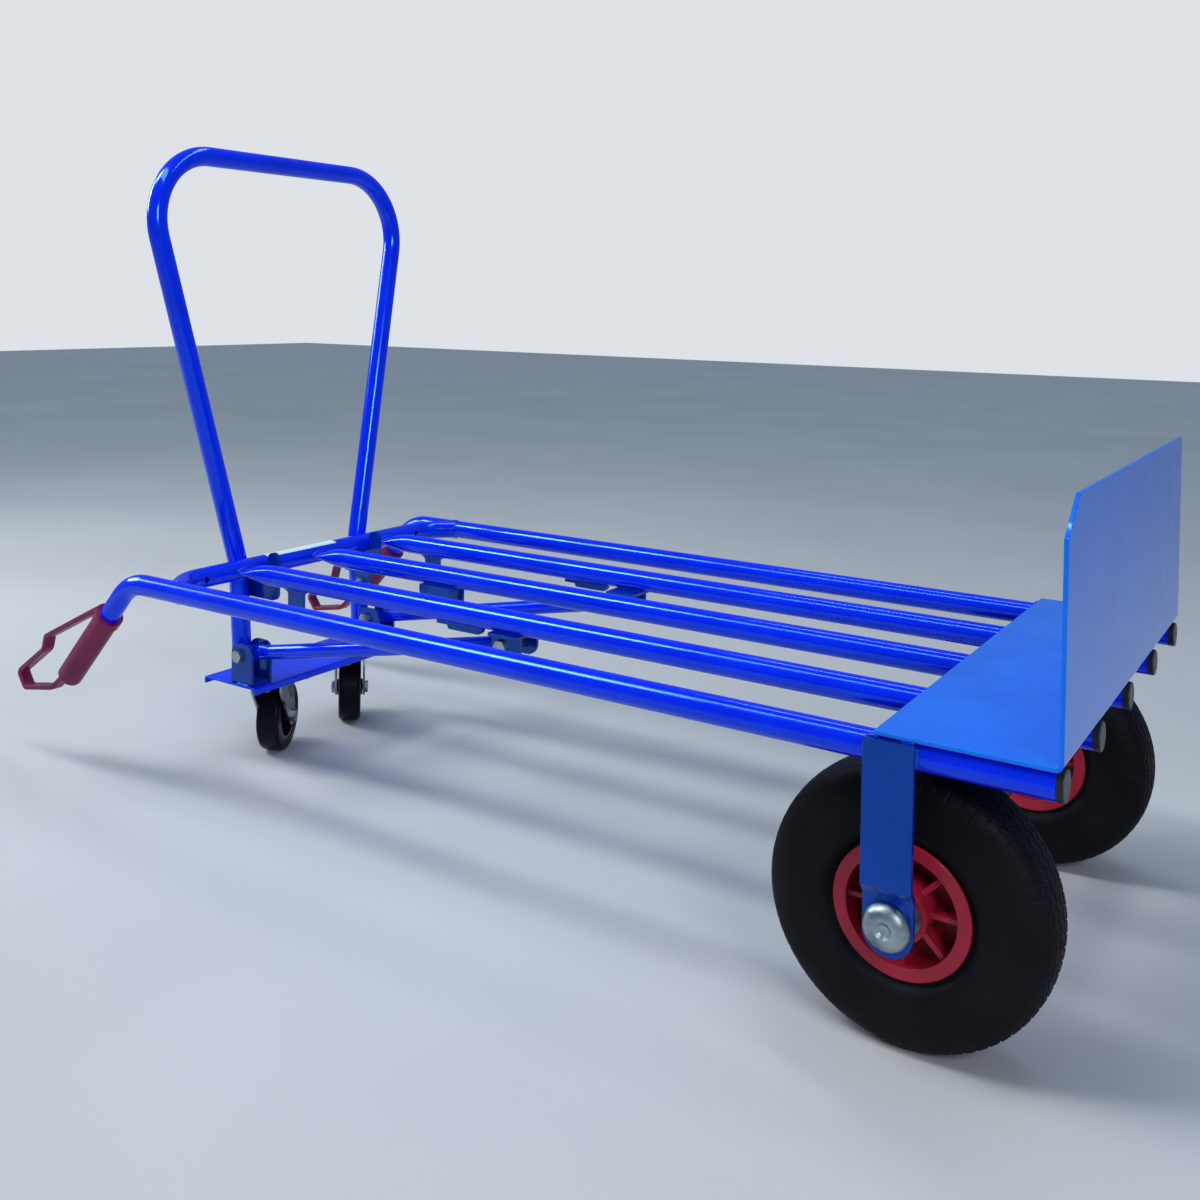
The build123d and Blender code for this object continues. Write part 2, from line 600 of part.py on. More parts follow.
for side, sign in SIDES:
    foot = Plane(
        origin=(FOOT_X, STRUT_Y, FOOT_Z),
        x_dir=(cos(strut_tilt), 0, sin(strut_tilt)),
        z_dir=(0, -1, 0),
    )
    with BuildPart() as strut:
        with BuildSketch(foot):
            with Locations((STRUT_FLAT / 2, 0)):
                Rectangle(STRUT_FLAT, 2 * STRUT_EYE_R)
            with Locations((strut_run - STRUT_FLAT / 2, 0)):
                Rectangle(STRUT_FLAT, 2 * STRUT_EYE_R)
            with Locations((0, 0), (strut_run, 0)):
                Circle(STRUT_EYE_R)
        extrude(amount=STRUT_EYE_HALF, both=True)
        along = Plane(origin=foot.origin, x_dir=(0, 1, 0), z_dir=foot.x_dir)
        for flat_at, round_at in (
            (STRUT_FLAT - 2, STRUT_NECK),
            (strut_run - STRUT_FLAT + 2, strut_run - STRUT_NECK),
        ):
            with BuildSketch(along.offset(flat_at)):
                Ellipse(STRUT_EYE_HALF, STRUT_EYE_R)
            with BuildSketch(along.offset(round_at)):
                Circle(STRUT_R)
            loft()
        with BuildSketch(along.offset(STRUT_NECK)):
            Circle(STRUT_R)
            Circle(STRUT_R - 2, mode=Mode.SUBTRACT)
        extrude(amount=strut_run - 2 * STRUT_NECK)
        with BuildSketch(foot):
            with Locations((0, 0), (strut_run, 0)):
                Circle(BOLT_R + RUNNING_GAP)
        extrude(amount=STRUT_EYE_HALF + 1, both=True, mode=Mode.SUBTRACT)
        if sign < 0:
            mirror(about=Plane.XZ, mode=Mode.REPLACE)
    save(strut, f"strut_{side}")


def hex_bolt(x, z, head_y, nut_y, shank_r, flats):
    """A hexagon bolt lying along Y; its head sits outboard on head_y and its nut on nut_y."""
    with BuildSketch(across(x, head_y, z)) as shank:
        Circle(shank_r)
    extrude(shank.sketch, amount=head_y - nut_y + 2.2 * shank_r)
    with BuildSketch(across(x, head_y, z)) as head:
        RegularPolygon(flats / 2, 6, major_radius=False)
    extrude(head.sketch, amount=-1.3 * shank_r)
    with BuildSketch(across(x, nut_y, z)) as nut:
        RegularPolygon(flats / 2, 6, major_radius=False)
    extrude(nut.sketch, amount=1.6 * shank_r)


BUSH_R = 8.0
BUSH_GAP = 0.3
with BuildPart() as pivot_bolts:
    hex_bolt(PIVOT_X, PIVOT_Z, CHEEK_OUT_Y + U_PLATE, CHEEK_IN_Y - U_PLATE, BOLT_R, 16)
    mirror(about=Plane.XZ)
save(pivot_bolts, "pivot_bolts")

with BuildPart() as foot_bolts:
    hex_bolt(FOOT_X, FOOT_Z, CHEEK_OUT_Y + U_PLATE, CHEEK_IN_Y - U_PLATE, BOLT_R, 16)
    mirror(about=Plane.XZ)
save(foot_bolts, "foot_bolts")

for bush_name, bush_x, bush_z in (("pivot_bushes", PIVOT_X, PIVOT_Z), ("foot_bushes", FOOT_X, FOOT_Z)):
    with BuildPart() as bushes:
        for start, stop in (
            (CHEEK_IN_Y, STRUT_Y - STRUT_EYE_HALF - BUSH_GAP),
            (STRUT_Y + STRUT_EYE_HALF + BUSH_GAP, CHEEK_OUT_Y),
        ):
            with BuildSketch(across(bush_x, start, bush_z)):
                Circle(BUSH_R)
                Circle(BOLT_R, mode=Mode.SUBTRACT)
            extrude(amount=start - stop)
        mirror(about=Plane.XZ)
    save(bushes, bush_name)

# ---- rear leg frame: hoop, castor channel and the brackets on them -----------------------

with BuildPart() as hoop:
    with BuildLine() as hoop_path:
        FilletPolyline(
            hoop_point(-HOOP_LEG_Y, CHANNEL_TOP_Z - 8),
            hoop_point(-HOOP_LEG_Y, DECK_Z),
            hoop_point(-HOOP_TOP_Y, HOOP_TOP_Z),
            hoop_point(HOOP_TOP_Y, HOOP_TOP_Z),
            hoop_point(HOOP_LEG_Y, DECK_Z),
            hoop_point(HOOP_LEG_Y, CHANNEL_TOP_Z - 8),
            radius=[HOOP_KNEE_R, HOOP_CORNER_R, HOOP_CORNER_R, HOOP_KNEE_R],
        )
    hoop_wire = hoop_path.wires()[0]
    with BuildSketch(Plane(origin=hoop_wire @ 0, z_dir=hoop_wire % 0)):
        Circle(TUBE_R)
        Circle(TUBE_R - TUBE_WALL, mode=Mode.SUBTRACT)
    sweep(path=hoop_wire)
    split(bisect_by=Plane.XY.offset(CHANNEL_TOP_Z), keep=Keep.TOP)
save(hoop, "hoop")


def bore_for_leg(low_z, high_z):
    """Cut the current part to sit against the left leg of the hoop."""
    low = hoop_point(HOOP_LEG_Y, low_z)
    high = hoop_point(HOOP_LEG_Y, high_z)
    leg_axis = (high[0] - low[0], 0, high[2] - low[2])
    with BuildSketch(Plane(origin=low, x_dir=(0, 1, 0), z_dir=leg_axis)) as bore:
        Circle(TUBE_R)
    extrude(bore.sketch, amount=high_z - low_z, mode=Mode.SUBTRACT)


FOOT_BRACKET_BACK = TOE_X - 1133
FOOT_BRACKET_FRONT = TOE_X - 1093
FOOT_BRACKET_TOP = DECK_Z - 104
CRADLE_OUT_Y = HOOP_LEG_Y - TUBE_R
CRADLE_PLATE = 6.0
CRADLE_BACK = TOE_X - 1158
CRADLE_HOOK = TOE_X - 1087
CRADLE_HOOK_R = 10.0
CRADLE_TOP = DECK_Z + 2
CRADLE_HOOK_Z = DECK_Z + 11
CRADLE_LOW = DECK_Z - 47
CRADLE_SEAT_R = TUBE_R + 1
LUG_BACK = TOE_X - 1136
LUG_FRONT = TOE_X - 1108
LUG_LOW = DECK_Z - 76
LUG_BOLT_X = TOE_X - 1122
LUG_BOLT_Z = DECK_Z - 62

for side, sign in SIDES:
    with BuildPart() as foot_bracket:
        with BuildSketch(Plane.YZ.offset(FOOT_BRACKET_BACK)):
            with BuildLine():
                Polyline(
                    (CHEEK_IN_Y, FOOT_BRACKET_TOP),
                    (CHEEK_IN_Y, CHANNEL_TOP_Z + U_PLATE),
                    (CHEEK_OUT_Y, CHANNEL_TOP_Z + U_PLATE),
                    (CHEEK_OUT_Y, FOOT_BRACKET_TOP),
                )
                offset(amount=U_PLATE, side=Side.RIGHT)
            make_face()
        extrude(amount=FOOT_BRACKET_FRONT - FOOT_BRACKET_BACK)
        cheek_ends = foot_bracket.edges().filter_by(Axis.Y).group_by(Axis.Z)[-1]
        fillet(cheek_ends, radius=13)
        with BuildSketch(across(FOOT_X, STRUT_Y, FOOT_Z)):
            Circle(BOLT_R)
        extrude(amount=U_INNER_HALF + U_PLATE, both=True, mode=Mode.SUBTRACT)
        bore_for_leg(CHANNEL_TOP_Z - 10, DECK_Z)
        if sign < 0:
            mirror(about=Plane.XZ, mode=Mode.REPLACE)
    save(foot_bracket, f"foot_bracket_{side}")

    # J-shaped cradle that drops the leg frame onto the crossbar
    with BuildPart() as cradle:
        with BuildSketch(across(0, CRADLE_OUT_Y - CRADLE_PLATE, 0)):
            with BuildLine():
                Polyline(
                    (CROSSBAR_X - CRADLE_SEAT_R, DECK_Z),
                    (CROSSBAR_X - CRADLE_SEAT_R, CRADLE_TOP),
                    (CRADLE_BACK, CRADLE_TOP),
                    (CRADLE_BACK, CRADLE_LOW),
                    (CRADLE_HOOK, CRADLE_LOW),
                    (CRADLE_HOOK, CRADLE_HOOK_Z),
                )
                ThreePointArc(
                    (CRADLE_HOOK, CRADLE_HOOK_Z),
                    (CRADLE_HOOK - CRADLE_HOOK_R, CRADLE_HOOK_Z + CRADLE_HOOK_R),
                    (CRADLE_HOOK - 2 * CRADLE_HOOK_R, CRADLE_HOOK_Z),
                )
                Line(
                    (CRADLE_HOOK - 2 * CRADLE_HOOK_R, CRADLE_HOOK_Z),
                    (CROSSBAR_X + CRADLE_SEAT_R, DECK_Z),
                )
                ThreePointArc(
                    (CROSSBAR_X + CRADLE_SEAT_R, DECK_Z),
                    (CROSSBAR_X, DECK_Z - CRADLE_SEAT_R),
                    (CROSSBAR_X - CRADLE_SEAT_R, DECK_Z),
                )
            make_face()
        extrude(amount=-CRADLE_PLATE)
        low_corners = cradle.edges().filter_by(Axis.Y).group_by(Axis.Z)[0]
        fillet(low_corners.sort_by(Axis.X)[-1], radius=10)
        fillet(low_corners.sort_by(Axis.X)[0], radius=3)
        if side == "left":
            with BuildSketch(across(0, CRADLE_OUT_Y - CRADLE_PLATE, 0)):
                with BuildLine():
                    FilletPolyline(
                        (LUG_BACK, CRADLE_LOW + 3),
                        (LUG_BACK, LUG_LOW),
                        (LUG_FRONT, LUG_LOW),
                        (LUG_FRONT, CRADLE_LOW + 3),
                        radius=5,
                    )
                    Line((LUG_FRONT, CRADLE_LOW + 3), (LUG_BACK, CRADLE_LOW + 3))
                make_face()
            extrude(amount=-CRADLE_PLATE)
            with BuildSketch(across(LUG_BOLT_X, CRADLE_OUT_Y, LUG_BOLT_Z)):
                Circle(4)
            extrude(amount=CRADLE_PLATE, mode=Mode.SUBTRACT)
        if sign < 0:
            mirror(about=Plane.XZ, mode=Mode.REPLACE)
    save(cradle, f"cradle_{side}")

with BuildPart() as lug_bolt:
    hex_bolt(LUG_BOLT_X, LUG_BOLT_Z, CRADLE_OUT_Y, CRADLE_OUT_Y - CRADLE_PLATE, 4.0, 13)
save(lug_bolt, "lug_bolt")

MOUNT_BOLT_X = 29.0          # castor mounting studs, each way from the kingpin
MOUNT_BOLT_Y = 40.0
MOUNT_BOLT_R = 4.0
mount_points = [
    (CASTOR_X + dx, sign * CASTOR_Y + dy)
    for side, sign in SIDES
    for dx in (-MOUNT_BOLT_X, MOUNT_BOLT_X)
    for dy in (-MOUNT_BOLT_Y, MOUNT_BOLT_Y)
]

with BuildPart() as castor_channel:
    with BuildSketch(across(CHANNEL_X, 0, CHANNEL_TOP_Z)):
        with BuildLine():
            Polyline(
                (-CHANNEL_WIDTH / 2, -CHANNEL_LIP),
                (-CHANNEL_WIDTH / 2, 0),
                (CHANNEL_WIDTH / 2, 0),
                (CHANNEL_WIDTH / 2, -CHANNEL_LIP),
            )
            offset(amount=CHANNEL_PLATE, side=Side.RIGHT)
        make_face()
    extrude(amount=CHANNEL_HALF_LENGTH, both=True)
    top_bends = castor_channel.edges().filter_by(Axis.Y).group_by(Axis.Z)[-1]
    fillet(top_bends, radius=CHANNEL_PLATE - 0.5)
    with BuildSketch(Plane.XY.offset(CHANNEL_TOP_Z)):
        with Locations(*mount_points):
            Circle(MOUNT_BOLT_R)
    extrude(amount=-CHANNEL_PLATE, mode=Mode.SUBTRACT)
save(castor_channel, "castor_channel")

# ---- swivel castors -------------------------------------------------------------------
CASTOR_PLATE = 3.0
CASTOR_PLATE_X = 74.0
CASTOR_PLATE_Y = 95.0
RACE_R = 24.0
CROWN_TOP_Z = 109.7
CROWN_PLATE = 3.7
FORK_IN = 20.5
FORK_OUT = 23.5
FORK_EYE_R = 13.0
CROWN_FRONT = -24.0
CROWN_BACK = 30.0
PIN_HEAD_R = 11.0
PIN_HEAD_TOP_Z = CROWN_TOP_Z - CROWN_PLATE - 0.3
PLATE_LOW_Z = CASTOR_TOP_Z - CASTOR_PLATE

with BuildPart() as castor_mount_bolts:
    with BuildSketch(Plane.XY.offset(PLATE_LOW_Z - 8)):
        with Locations(*mount_points):
            Circle(MOUNT_BOLT_R)
    extrude(amount=CHANNEL_TOP_Z - PLATE_LOW_Z + 8)
    with BuildSketch(Plane.XY.offset(PLATE_LOW_Z)):
        with Locations(*mount_points):
            RegularPolygon(6.5, 6, major_radius=False)
    extrude(amount=-6.5)
save(castor_mount_bolts, "castor_mount_bolts")

for side, sign in SIDES:
    kingpin_at = (CASTOR_X, sign * CASTOR_Y)
    with BuildPart() as castor_plate:
        with BuildSketch(Plane.XY.offset(PLATE_LOW_Z)):
            with Locations(kingpin_at):
                RectangleRounded(CASTOR_PLATE_X, CASTOR_PLATE_Y, 8)
        extrude(amount=CASTOR_PLATE)
        with BuildSketch(Plane.XY.offset(CROWN_TOP_Z + 0.3)):
            with Locations(kingpin_at):
                Circle(RACE_R)
        extrude(amount=PLATE_LOW_Z - CROWN_TOP_Z - 0.3)
        with BuildSketch(Plane.XY.offset(CASTOR_TOP_Z)):
            with Locations(kingpin_at):
                Circle(KINGPIN_R)
            with Locations(*mount_points[4 * (sign < 0):4 * (sign < 0) + 4]):
                Circle(MOUNT_BOLT_R)
        extrude(amount=-12, mode=Mode.SUBTRACT)
    save(castor_plate, f"castor_plate_{side}")

    with BuildPart() as kingpin:
        with BuildSketch(Plane.XY.offset(CASTOR_TOP_Z)):
            with Locations(kingpin_at):
                Circle(KINGPIN_R)
        extrude(amount=PIN_HEAD_TOP_Z - CASTOR_TOP_Z - 1)
        with BuildSketch(Plane.XY.offset(PIN_HEAD_TOP_Z)):
            with Locations(kingpin_at):
                Circle(PIN_HEAD_R)
        extrude(amount=-4.5)
        fillet(kingpin.edges().group_by(Axis.Z)[0], radius=2)
    save(kingpin, f"kingpin_{side}")

    swivel = radians(CASTOR_SWIVEL[side])
    trail_dir = (cos(swivel), sin(swivel), 0)
    fork_side = Plane(
        origin=(CASTOR_X, sign * CASTOR_Y, 0), x_dir=trail_dir, z_dir=(sin(swivel), -cos(swivel), 0)
    )
    hub_centre = (
        CASTOR_X + CASTOR_TRAIL * cos(swivel),
        sign * CASTOR_Y + CASTOR_TRAIL * sin(swivel),
        CASTOR_R,
    )

    with BuildPart() as castor_fork:
        with BuildSketch(fork_side):
            with BuildLine():
                Polyline((CROWN_FRONT, CROWN_TOP_Z), (CROWN_BACK, CROWN_TOP_Z))
                CenterArc((CASTOR_TRAIL, CASTOR_R), FORK_EYE_R, 0, 360)
                Line((CROWN_FRONT, CROWN_TOP_Z), (CROWN_FRONT, CROWN_TOP_Z - 12))
            make_hull()
        extrude(amount=FORK_OUT, both=True)
        shoulders = castor_fork.edges().filter_by(lambda e: abs((e % 0.5).Z) < 0.01)
        shoulders = shoulders.group_by(Axis.Z)[-1].filter_by(
            lambda e: abs((e % 0.5).X * cos(swivel) + (e % 0.5).Y * sin(swivel)) > 0.99
        )
        fillet(shoulders, radius=4)
        with BuildSketch(fork_side):
            with Locations((CASTOR_TRAIL / 2, CROWN_TOP_Z - CROWN_PLATE)):
                Rectangle(160, 120, align=(Align.CENTER, Align.MAX))
        extrude(amount=FORK_IN, both=True, mode=Mode.SUBTRACT)
        with BuildSketch(fork_side):
            with Locations((CASTOR_TRAIL, CASTOR_R)):
                Circle(CASTOR_AXLE_R)
        extrude(amount=FORK_OUT + 1, both=True, mode=Mode.SUBTRACT)
        with BuildSketch(Plane.XY.offset(CROWN_TOP_Z)):
            with Locations(kingpin_at):
                Circle(KINGPIN_R + RUNNING_GAP)
        extrude(amount=-CROWN_PLATE - 1, mode=Mode.SUBTRACT)
    save(castor_fork, f"castor_fork_{side}")

    with BuildPart() as castor_axle:
        with BuildSketch(fork_side.offset(-FORK_OUT - 6)):
            with Locations((CASTOR_TRAIL, CASTOR_R)):
                Circle(CASTOR_AXLE_R)
        extrude(amount=2 * FORK_OUT + 8)
        with BuildSketch(fork_side.offset(FORK_OUT)):
            with Locations((CASTOR_TRAIL, CASTOR_R)):
                RegularPolygon(8, 6, major_radius=False)
        extrude(amount=5)
        with BuildSketch(fork_side.offset(-FORK_OUT)):
            with Locations((CASTOR_TRAIL, CASTOR_R)):
                RegularPolygon(8, 6, major_radius=False)
        extrude(amount=-5)
    save(castor_axle, f"castor_axle_{side}")

    hub_plane = Plane(origin=hub_centre, x_dir=trail_dir, z_dir=(0, 0, 1))
    hub_axis = Axis(hub_centre, (-sin(swivel), cos(swivel), 0))
    with BuildPart() as castor_tyre:
        with BuildSketch(hub_plane):
            with Locations(((CASTOR_R + CASTOR_HUB_R) / 2, 0)):
                Rectangle(CASTOR_R - CASTOR_HUB_R, CASTOR_WIDTH)
        revolve(axis=hub_axis)
        rims = castor_tyre.edges().filter_by(GeomType.CIRCLE).filter_by(lambda e: e.radius > CASTOR_R - 1)
        fillet(rims, radius=6)
    save(castor_tyre, f"castor_tyre_{side}")

    with BuildPart() as castor_hub:
        with BuildSketch(hub_plane):
            with BuildLine():
                Polyline(
                    (CASTOR_AXLE_R + RUNNING_GAP, -FORK_IN + 0.5),
                    (12, -FORK_IN + 0.5),
                    (14, -6),
                    (28, -6),
                    (30, -CASTOR_WIDTH / 2 + 1),
                    (CASTOR_HUB_R, -CASTOR_WIDTH / 2 + 1),
                    (CASTOR_HUB_R, CASTOR_WIDTH / 2 - 1),
                    (30, CASTOR_WIDTH / 2 - 1),
                    (28, 6),
                    (14, 6),
                    (12, FORK_IN - 0.5),
                    (CASTOR_AXLE_R + RUNNING_GAP, FORK_IN - 0.5),
                    close=True,
                )
            make_face()
        revolve(axis=hub_axis)
    save(castor_hub, f"castor_hub_{side}")
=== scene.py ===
"""Looks for the convertible hand truck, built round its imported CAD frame.  Metres, +Z up."""

import math

import bmesh
import bpy
from mathutils import Matrix, Vector, noise


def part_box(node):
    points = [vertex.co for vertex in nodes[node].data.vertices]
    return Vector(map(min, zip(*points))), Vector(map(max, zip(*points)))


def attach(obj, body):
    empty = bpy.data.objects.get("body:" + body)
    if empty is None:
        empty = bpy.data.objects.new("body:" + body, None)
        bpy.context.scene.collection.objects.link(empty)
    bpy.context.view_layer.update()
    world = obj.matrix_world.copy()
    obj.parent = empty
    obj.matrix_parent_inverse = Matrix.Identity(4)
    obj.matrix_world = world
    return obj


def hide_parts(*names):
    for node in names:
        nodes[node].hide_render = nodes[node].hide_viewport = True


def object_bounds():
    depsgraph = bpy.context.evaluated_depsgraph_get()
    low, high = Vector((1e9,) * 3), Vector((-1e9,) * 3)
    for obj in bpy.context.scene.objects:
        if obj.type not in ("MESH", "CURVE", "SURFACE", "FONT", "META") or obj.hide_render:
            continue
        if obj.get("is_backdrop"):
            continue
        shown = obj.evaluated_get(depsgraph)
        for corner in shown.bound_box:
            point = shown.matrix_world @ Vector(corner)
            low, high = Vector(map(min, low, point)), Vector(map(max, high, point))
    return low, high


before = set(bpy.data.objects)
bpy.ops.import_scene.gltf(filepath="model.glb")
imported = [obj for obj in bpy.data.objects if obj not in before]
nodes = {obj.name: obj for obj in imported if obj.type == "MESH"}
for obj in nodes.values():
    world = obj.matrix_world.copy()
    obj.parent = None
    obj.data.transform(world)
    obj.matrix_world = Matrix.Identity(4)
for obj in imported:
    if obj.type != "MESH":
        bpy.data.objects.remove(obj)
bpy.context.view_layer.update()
scene = bpy.context.scene

SIDES = (("left", 1), ("right", -1))
MM = 0.001

# ---- places read from the frame --------------------------------------------------------
tube_low, tube_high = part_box("deck_tube_middle")
TUBE_R = (tube_high.z - tube_low.z) / 2
DECK_Z = (tube_high.z + tube_low.z) / 2
BAR_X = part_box("crossbar")[0].x + TUBE_R
plate_low, plate_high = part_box("toe_plate")


def centre(node):
    """Middle of a CAD node's box."""
    low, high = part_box(node)
    return (low + high) / 2


# ---- camera ----------------------------------------------------------------------------
CAMERA_AT = Vector((0.9219, -1.4089, 0.6706))
YAW = math.radians(35.35)
PITCH = math.radians(0.93)
ROLL = math.radians(0.88)

camera = bpy.data.objects.new("camera", bpy.data.cameras.new("camera"))
scene.collection.objects.link(camera)
camera.data.sensor_width = 36.0
camera.data.lens = 38.21
camera.data.shift_x = 0.0836
camera.data.shift_y = -0.2333
camera.data.clip_start = 0.05
forward = Vector((
    -math.sin(YAW) * math.cos(PITCH), math.cos(YAW) * math.cos(PITCH), -math.sin(PITCH)
))
level_right = Vector((math.cos(YAW), math.sin(YAW), 0))
level_up = level_right.cross(forward)
right = math.cos(ROLL) * level_right + math.sin(ROLL) * level_up
up = right.cross(forward)
camera.matrix_world = Matrix((
    (right.x, up.x, -forward.x, CAMERA_AT.x),
    (right.y, up.y, -forward.y, CAMERA_AT.y),
    (right.z, up.z, -forward.z, CAMERA_AT.z),
    (0, 0, 0, 1),
))
scene.camera = camera

# ---- studio ----------------------------------------------------------------------------
FLOOR_HALF = 12.0


def new_object(name, mesh):
    """Link a mesh as a named object."""
    made = bpy.data.objects.new(name, mesh)
    scene.collection.objects.link(made)
    return made


floor_mesh = bpy.data.meshes.new("floor")
floor_mesh.from_pydata(
    [(-FLOOR_HALF, -FLOOR_HALF, 0), (FLOOR_HALF, -FLOOR_HALF, 0),
     (FLOOR_HALF, FLOOR_HALF, 0), (-FLOOR_HALF, FLOOR_HALF, 0)],
    [], [(0, 1, 2, 3)],
)
floor = new_object("floor", floor_mesh)
floor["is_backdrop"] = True

world = bpy.data.worlds.new("studio")
world.use_nodes = True
scene.world = world
# a pale backdrop, but a dim blue room for the enamel to mirror
world_tree = world.node_tree
backdrop = world_tree.nodes["Background"]
backdrop.inputs["Color"].default_value = (0.92, 0.95, 1.0, 1)
backdrop.inputs["Strength"].default_value = 0.8
room = world_tree.nodes.new("ShaderNodeBackground")
room.inputs["Color"].default_value = (0.42, 0.66, 1.0, 1)
room.inputs["Strength"].default_value = 0.34
seen = world_tree.nodes.new("ShaderNodeLightPath")
either = world_tree.nodes.new("ShaderNodeMixShader")
world_tree.links.new(seen.outputs["Is Camera Ray"], either.inputs[0])
world_tree.links.new(room.outputs[0], either.inputs[1])
world_tree.links.new(backdrop.outputs[0], either.inputs[2])
world_tree.links.new(either.outputs[0], world_tree.nodes["World Output"].inputs["Surface"])
scene.view_settings.view_transform = "Standard"


def area_light(name, at, aim, size, power, colour=(1, 1, 1)):
    """A rectangular softbox at a place, facing a point."""
    lamp = bpy.data.lights.new(name, "AREA")
    lamp.shape = "RECTANGLE"
    lamp.size, lamp.size_y = size
    lamp.energy = power
    lamp.color = colour
    made = bpy.data.objects.new(name, lamp)
    scene.collection.objects.link(made)
    made.location = at
    made.rotation_euler = (Vector(aim) - Vector(at)).to_track_quat("-Z", "Y").to_euler()
    return made


area_light("ceiling_strip_a", (-1.5, -0.9, 2.4), (-1.5, -0.2, 0.3), (4.2, 0.42), 34, (0.88, 0.96, 1))
# a soft sun from behind the leg frame, for the bright lines along the tubes
skylight = bpy.data.objects.new("skylight", bpy.data.lights.new("skylight", "SUN"))
scene.collection.objects.link(skylight)
skylight.data.energy = 0.85
skylight.data.angle = math.radians(15)
skylight.data.color = (0.92, 0.97, 1)
skylight.rotation_euler = Vector((0.55, 0.35, -0.76)).to_track_quat("-Z", "Y").to_euler()
area_light("ceiling_strip_b", (0.4, 0.6, 2.6), (0.2, 0, 0.3), (2.4, 0.30), 14, (0.88, 0.96, 1))
area_light("front_fill", (2.2, -2.0, 1.7), (0.1, 0, 0.3), (0.9, 0.7), 27)
area_light("back_fill", (-2.6, -0.6, 1.5), (0.2, 0, 0.4), (1.0, 0.8), 24)


# ---- materials -------------------------------------------------------------------------
class Surface:
    """A principled material with helper calls for its node tree."""

    def __init__(self, name, **sockets):
        self.mat = bpy.data.materials.new(name)
        self.mat.use_nodes = True
        self.tree = self.mat.node_tree
        self.shader = self.tree.nodes["Principled BSDF"]
        for socket, value in sockets.items():
            self.shader.inputs[socket.replace("_", " ")].default_value = value
        self.coord = self.node("ShaderNodeTexCoord")

    def node(self, kind, **settings):
        """Add a node, set its properties and unlinked inputs."""
        made = self.tree.nodes.new(kind)
        for key, value in settings.items():
            if key in made.inputs:
                made.inputs[key].default_value = value
            else:
                setattr(made, key, value)
        return made

    def link(self, output, target):
        self.tree.links.new(output, target)

    def noise(self, scale, detail=3.0, stretch=(1, 1, 1)):
        """Noise in object space; stretch scales its three axes."""
        mapping = self.node("ShaderNodeMapping", vector_type="POINT")
        mapping.inputs["Scale"].default_value = stretch
        self.link(self.coord.outputs["Object"], mapping.inputs["Vector"])
        made = self.node("ShaderNodeTexNoise")
        made.inputs["Scale"].default_value = scale
        made.inputs["Detail"].default_value = detail
        self.link(mapping.outputs["Vector"], made.inputs["Vector"])
        return made.outputs["Fac"]

    def ramp(self, fac, *stops):
        """Colour ramp through (position, colour) stops."""
        made = self.node("ShaderNodeValToRGB")
        self.link(fac, made.inputs["Fac"])
        elements = made.color_ramp.elements
        while len(elements) < len(stops):
            elements.new(0.5)
        for element, (position, colour) in zip(elements, stops):
            element.position = position
            element.color = (*colour, 1)
        return made.outputs["Color"]

    def spread(self, fac, low, high, from_low=0.3, from_high=0.7):
        """Map a factor's middle range onto low..high."""
        made = self.node("ShaderNodeMapRange")
        made.inputs["From Min"].default_value = from_low
        made.inputs["From Max"].default_value = from_high
        made.inputs["To Min"].default_value = low
        made.inputs["To Max"].default_value = high
        self.link(fac, made.inputs["Value"])
        return made.outputs["Result"]

    def mix(self, fac, first, second):
        """Mix two colours, each a socket or an RGB tuple."""
        made = self.node("ShaderNodeMix", data_type="RGBA")
        self.link(fac, made.inputs["Factor"])
        for value, key in ((first, "A"), (second, "B")):
            socket = [s for s in made.inputs if s.name == key and s.type == "RGBA"][0]
            if isinstance(value, tuple):
                socket.default_value = (*value, 1)
            else:
                self.link(value, socket)
        return [s for s in made.outputs if s.type == "RGBA"][0]

    def bump(self, height, strength, distance):
        """Bump the surface by a height socket, after any bump it already has."""
        made = self.node("ShaderNodeBump")
        made.inputs["Strength"].default_value = strength
        made.inputs["Distance"].default_value = distance
        self.link(height, made.inputs["Height"])
        if self.shader.inputs["Normal"].is_linked:
            self.link(self.shader.inputs["Normal"].links[0].from_socket, made.inputs["Normal"])
        self.link(made.outputs["Normal"], self.shader.inputs["Normal"])

    def colour(self, socket):
        self.link(socket, self.shader.inputs["Base Color"])

    def roughness(self, socket):
        self.link(socket, self.shader.inputs["Roughness"])


def enamel(name, deep, bright, worn=0.0):
    """Thick glossy enamel: slight orange peel, uneven coat, a few scuffs."""
    made = Surface(name, Roughness=0.14, Specular_IOR_Level=0.95)
    made.shader.inputs["Specular Tint"].default_value = (0.20, 0.66, 1.0, 1)
    made.colour(made.ramp(made.noise(14.0, 4.0), (0.3, deep), (0.7, bright)))
    made.roughness(made.spread(made.noise(60.0, 5.0), 0.10, 0.17))
    made.bump(made.noise(180.0, 2.0), 0.02 + worn, 0.0005)
    made.bump(made.noise(28.0, 2.0), 0.012, 0.0012)
    return made.mat


BLUE = enamel("blue_enamel", (0.0, 0.009, 0.74), (0.0004, 0.019, 0.88))
BLUE_SHEET = enamel("blue_sheet", (0.002, 0.13, 0.76), (0.004, 0.17, 0.86))
# painted shade: the brackets, tabs and plates wear the frame's blue enamel; this darker copy stands in
# for the shadow they sit in
BLUE_PAINTED_SHADE = enamel("blue_painted_shade", (0.0, 0.014, 0.24), (0.0004, 0.024, 0.33))
BLUE_WELD = enamel("blue_weld", (0.0004, 0.020, 0.42), (0.002, 0.05, 0.72), worn=0.4)


